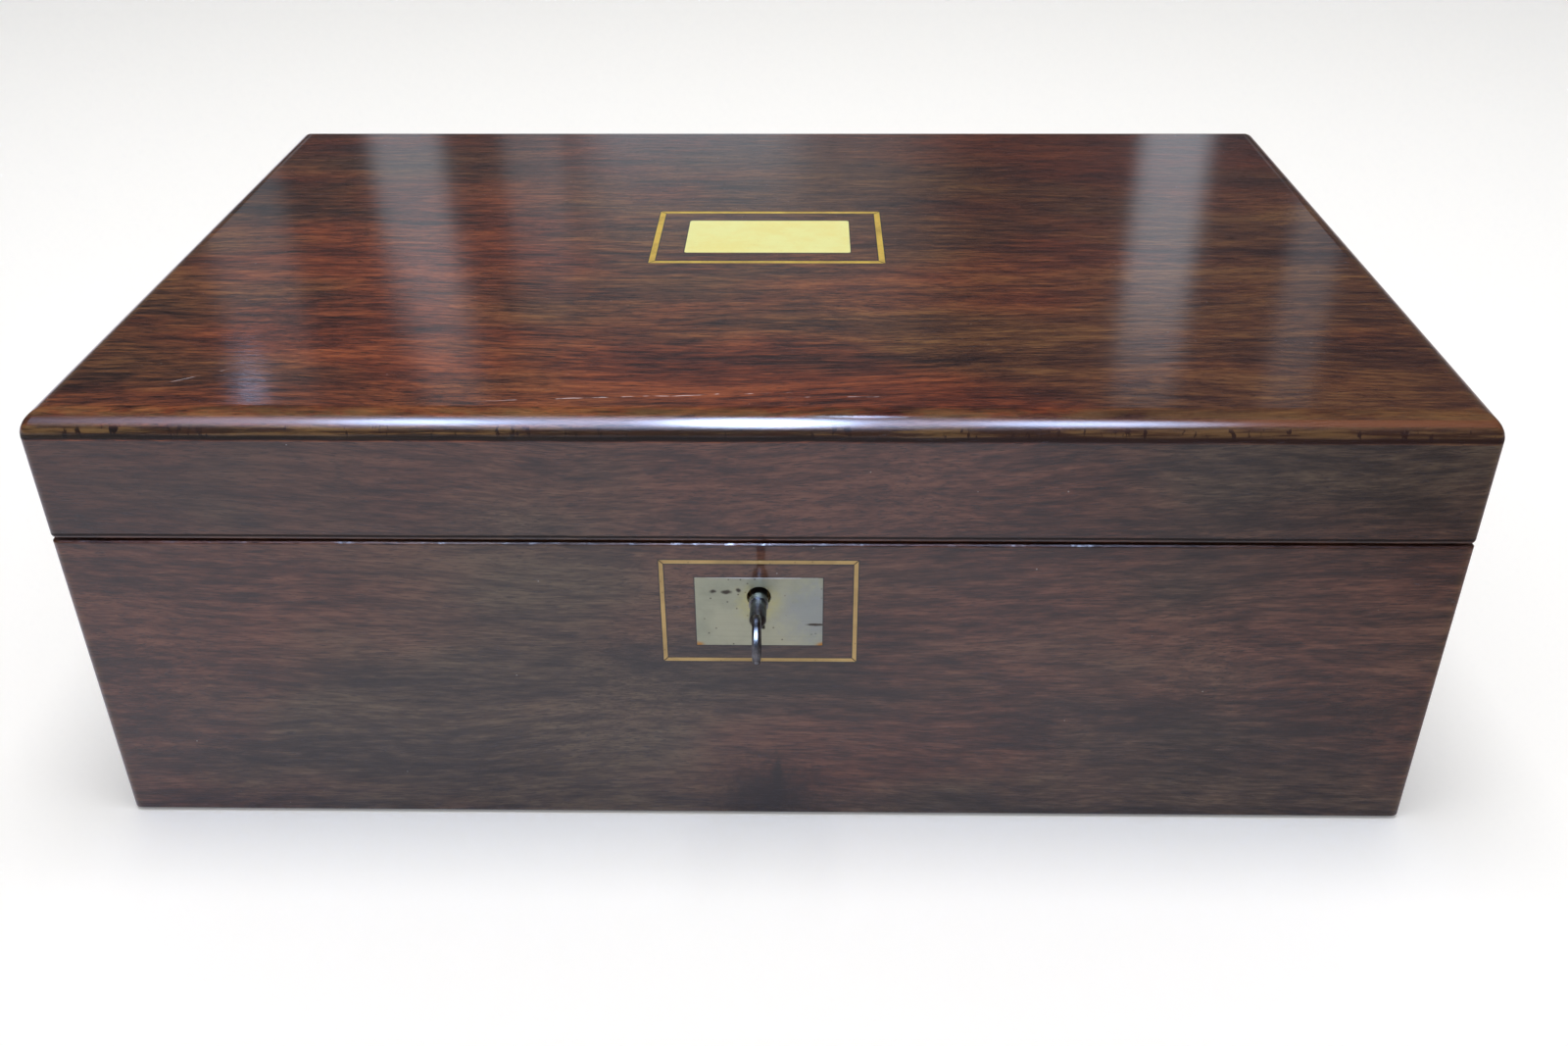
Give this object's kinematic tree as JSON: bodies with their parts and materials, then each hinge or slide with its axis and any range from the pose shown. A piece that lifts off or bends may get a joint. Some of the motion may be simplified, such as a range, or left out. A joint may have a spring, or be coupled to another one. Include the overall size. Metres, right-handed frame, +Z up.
{
  "type": "writing slope",
  "caption": "Rosewood writing slope: a box whose lid folds flat behind it to make one long sloping desk, with flaps, a pen tray, ink bottles and a box lock.",
  "frame": {"origin": "centre of the underside", "axes": "+X to the right seen from the lock side, +Y towards the hinges, +Z up"},
  "size_m": [0.4, 0.2922, 0.1405],
  "materials": {
    "rosewood": "french polished, worn",
    "rosewood_edge": "french polished, rubbed pale at the edge",
    "figured_rosewood": "french polished",
    "mahogany": "waxed",
    "leather": "smooth hide, worn",
    "ribbon": "woven silk",
    "brass": "satin",
    "aged_brass": "dull, spotted",
    "steel": "dark, handled",
    "ink_glass": "clear, thick walled"
  },
  "bodies": {
    "base": {"band_rail": "mahogany", "base_back": "rosewood", "base_bearers": "mahogany", "base_bottom": "mahogany", "base_fold_leather": "leather", "base_front": "rosewood", "base_left_end": "rosewood", "base_right_end": "rosewood", "drill_pin": "steel", "escutcheon": "aged_brass", "fold_spine": "leather", "front_stringing": "aged_brass", "hinge_pins": "steel", "left_hinge_base_leaf": "brass", "left_ink_bottle": "ink_glass", "left_well_divider": "mahogany", "left_well_floor": "mahogany", "lock_case": "brass", "lock_plate": "brass", "pen_tray": "mahogany", "right_hinge_base_leaf": "brass", "right_ink_bottle": "ink_glass", "right_well_divider": "mahogany", "right_well_floor": "mahogany", "tray_rests": "mahogany"},
    "lid": {"lid_front": "rosewood", "lid_back": "rosewood", "lid_left_end": "rosewood", "lid_right_end": "rosewood", "lid_top": "rosewood_edge", "lid_top_veneer": "figured_rosewood", "lid_fold_leather": "leather", "top_plate": "brass", "top_stringing": "aged_brass", "lid_bearers": "mahogany", "left_hinge_lid_leaf": "brass", "right_hinge_lid_leaf": "brass", "link_plate": "brass", "catch_pins": "brass"},
    "upper_flap": {"upper_flap_board": "mahogany", "upper_flap_leather": "leather", "upper_flap_tab": "ribbon"},
    "lower_flap": {"lower_flap_board": "mahogany", "lower_flap_leather": "leather", "lower_flap_tab": "ribbon"},
    "key": {"key": "steel"},
    "bolt": {"lock_bolt": "steel"},
    "left_catch": {"left_flap_catch": "brass"},
    "right_catch": {"right_flap_catch": "brass"},
    "left_cap": {"left_ink_cap": "brass"},
    "right_cap": {"right_ink_cap": "brass"}
  },
  "joints": [
    {"name": "lid_hinge", "type": "hinge", "parent": "base", "child": "lid", "pos_m": [0, 0.1313, 0.07025], "axis": [-1, 0, 0], "range_deg": [0, 180], "deforming": ["fold_spine"]},
    {"name": "upper_flap_hinge", "type": "hinge", "parent": "base", "child": "upper_flap", "pos_m": [0, 0.11914, 0.07028], "axis": [-1, 0, 0], "range_deg": [0, 72]},
    {"name": "lower_flap_hinge", "type": "hinge", "parent": "lid", "child": "lower_flap", "pos_m": [0, 0.1186, 0.07316], "axis": [1, 0, 0], "range_deg": [0, 45]},
    {"name": "key_turn", "type": "hinge", "parent": "base", "child": "key", "pos_m": [0, -0.131, 0.083], "axis": [0, 1, 0], "range_deg": [0, 360]},
    {"name": "bolt_slide", "type": "slide", "parent": "base", "child": "bolt", "axis": [1, 0, 0], "range_m": [0, 0.008]},
    {"name": "left_catch_turn", "type": "hinge", "parent": "lid", "child": "left_catch", "pos_m": [-0.095, -0.12497, 0.10079], "axis": [0, -0.1172, -0.9931], "range_deg": [0, 90]},
    {"name": "right_catch_turn", "type": "hinge", "parent": "lid", "child": "right_catch", "pos_m": [0.095, -0.12497, 0.10079], "axis": [0, 0.1172, 0.9931], "range_deg": [0, 90]},
    {"name": "left_cap_turn", "type": "hinge", "parent": "base", "child": "left_cap", "pos_m": [-0.169, -0.097, 0.081], "axis": [0, 0, 1], "range_deg": [0, 360]},
    {"name": "right_cap_turn", "type": "hinge", "parent": "base", "child": "right_cap", "pos_m": [0.169, -0.097, 0.081], "axis": [0, 0, 1], "range_deg": [0, 360]}
  ],
  "couplings": [
    {"joint": "upper_flap_hinge", "follows": "lid_hinge", "ratio": 0.4},
    {"joint": "lower_flap_hinge", "follows": "lid_hinge", "ratio": 0.25},
    {"joint": "key_turn", "follows": "bolt_slide", "rad_per_m": 785.39}
  ]
}
